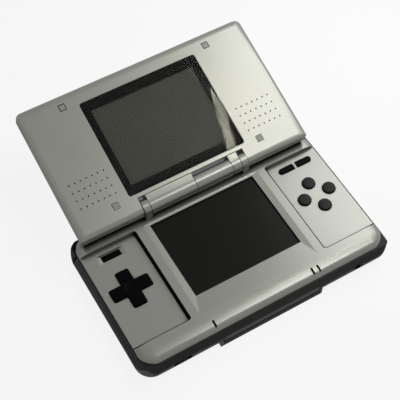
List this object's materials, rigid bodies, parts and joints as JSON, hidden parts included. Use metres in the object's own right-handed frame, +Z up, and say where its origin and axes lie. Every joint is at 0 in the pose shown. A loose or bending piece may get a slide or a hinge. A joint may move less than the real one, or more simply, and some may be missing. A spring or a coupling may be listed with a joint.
{
  "type": "clamshell handheld game console",
  "caption": "Clamshell handheld game console with a screen in its hinged lid and a touch screen between a direction pad and face buttons in its base.",
  "frame": {"origin": "under the middle of the base, on the plane that its feet stand on", "axes": "+X to the player's right, +Y from the player to the hinge, +Z up out of the control panels"},
  "size_m": [0.1482, 0.1498, 0.0455],
  "materials": {
    "silver_paint": "satin silver paint on moulded plastic",
    "charcoal_plastic": "finely textured charcoal plastic",
    "button_plastic": "semi-gloss black plastic",
    "shoulder_plastic": "gloss black plastic",
    "black_rubber": "matt",
    "grey_rubber": "moulded silicone",
    "pad_rubber": "soft grey bumper",
    "window_plastic": "hard-coated clear window",
    "black_ink": "black printed border",
    "display_panel": "dark display panel",
    "touch_film": "matt touch film on glass",
    "sheet_steel": "plated sheet",
    "pin_steel": "turned",
    "screw_steel": "zinc plated",
    "board_laminate": "green solder resist",
    "socket_plastic": "moulded black",
    "battery_sleeve": "matt sleeve",
    "pipe_plastic": "smoked clear plastic",
    "ribbon_film": "amber polyimide",
    "speaker_basket": "black frame"
  },
  "bodies": {
    "base": {"lower_case": "charcoal_plastic", "rubber_feet": "black_rubber", "battery_cover": "charcoal_plastic", "battery_cover_screw": "screw_steel", "battery": "battery_sleeve", "case_screws": "screw_steel", "cartridge_guide": "socket_plastic", "card_cage": "sheet_steel", "main_board": "board_laminate", "headphone_jack": "socket_plastic", "charge_port": "socket_plastic", "power_switch": "sheet_steel", "dpad_membrane": "grey_rubber", "face_membrane": "grey_rubber", "option_membrane": "grey_rubber", "lower_lcd_tray": "sheet_steel", "lower_lcd": "display_panel", "touch_panel": "touch_film", "top_cover": "silver_paint", "microphone": "socket_plastic", "light_pipes": "pipe_plastic", "shoulder_pin_left": "pin_steel", "shoulder_pin_right": "pin_steel", "hinge_sleeve": "pin_steel"},
    "lid": {"lid_inner_cover": "silver_paint", "lid_outer_shell": "silver_paint", "speaker_left": "speaker_basket", "speaker_right": "speaker_basket", "upper_lcd_tray": "sheet_steel", "upper_lcd": "display_panel", "display_ribbon": "ribbon_film", "window_mask": "black_ink", "upper_window": "window_plastic", "lid_screws": "screw_steel", "lid_pads": "pad_rubber", "hinge_pin_left": "pin_steel", "hinge_pin_right": "pin_steel"},
    "cross_pivot": {"dpad_post": "button_plastic"},
    "cross_pad": {"dpad": "button_plastic"},
    "face_back": {"face_button_back": "button_plastic"},
    "face_right": {"face_button_right": "button_plastic"},
    "face_front": {"face_button_front": "button_plastic"},
    "face_left": {"face_button_left": "button_plastic"},
    "select": {"select_button": "button_plastic"},
    "start": {"start_button": "button_plastic"},
    "power": {"power_button": "button_plastic"},
    "shoulder_left": {"shoulder_button_left": "shoulder_plastic"},
    "shoulder_right": {"shoulder_button_right": "shoulder_plastic"},
    "volume": {"volume_slider": "button_plastic"},
    "pen": {"stylus": "button_plastic"},
    "blank_cartridge": {"slot_cover": "charcoal_plastic"}
  },
  "joints": [
    {"name": "lid_hinge", "type": "hinge", "parent": "base", "child": "lid", "pos_m": [0, 0.0365, 0.0214], "axis": [1, 0, 0], "range_deg": [0, 163.35]},
    {"name": "cross_tilt_sideways", "type": "hinge", "parent": "base", "child": "cross_pivot", "pos_m": [-0.0564, 0.0026, 0.01155], "axis": [0, 1, 0], "range_deg": [-2.5, 2.5], "stiffness_Nm_per_rad": 0.2},
    {"name": "cross_tilt_forward", "type": "hinge", "parent": "cross_pivot", "child": "cross_pad", "pos_m": [-0.0564, 0.0026, 0.01155], "axis": [1, 0, 0], "range_deg": [-2.5, 2.5], "stiffness_Nm_per_rad": 0.2},
    {"name": "face_back_press", "type": "slide", "parent": "base", "child": "face_back", "axis": [0, 0, -1], "range_m": [0, 0.0008], "stiffness_N_per_m": 900},
    {"name": "face_right_press", "type": "slide", "parent": "base", "child": "face_right", "axis": [0, 0, -1], "range_m": [0, 0.0008], "stiffness_N_per_m": 900},
    {"name": "face_front_press", "type": "slide", "parent": "base", "child": "face_front", "axis": [0, 0, -1], "range_m": [0, 0.0008], "stiffness_N_per_m": 900},
    {"name": "face_left_press", "type": "slide", "parent": "base", "child": "face_left", "axis": [0, 0, -1], "range_m": [0, 0.0008], "stiffness_N_per_m": 900},
    {"name": "select_press", "type": "slide", "parent": "base", "child": "select", "axis": [0, 0, -1], "range_m": [0, 0.0008], "stiffness_N_per_m": 900},
    {"name": "start_press", "type": "slide", "parent": "base", "child": "start", "axis": [0, 0, -1], "range_m": [0, 0.0008], "stiffness_N_per_m": 900},
    {"name": "power_press", "type": "slide", "parent": "base", "child": "power", "axis": [0, 0, -1], "range_m": [0, 0.0008], "stiffness_N_per_m": 900},
    {"name": "shoulder_left_press", "type": "hinge", "parent": "base", "child": "shoulder_left", "pos_m": [-0.0536, 0.0372, 0.0094], "axis": [0, 0, 1], "range_deg": [0, 3], "stiffness_Nm_per_rad": 0.3},
    {"name": "shoulder_right_press", "type": "hinge", "parent": "base", "child": "shoulder_right", "pos_m": [0.0536, 0.0372, 0.0094], "axis": [0, 0, -1], "range_deg": [0, 3], "stiffness_Nm_per_rad": 0.3},
    {"name": "volume_slide", "type": "slide", "parent": "base", "child": "volume", "axis": [1, 0, 0], "range_m": [-0.0025, 0.0025]},
    {"name": "pen_pull", "type": "slide", "parent": "base", "child": "pen", "axis": [0, 1, 0], "range_m": [0, 0.078]},
    {"name": "blank_cartridge_pull", "type": "slide", "parent": "base", "child": "blank_cartridge", "axis": [0, -1, 0], "range_m": [0, 0.034]}
  ]
}
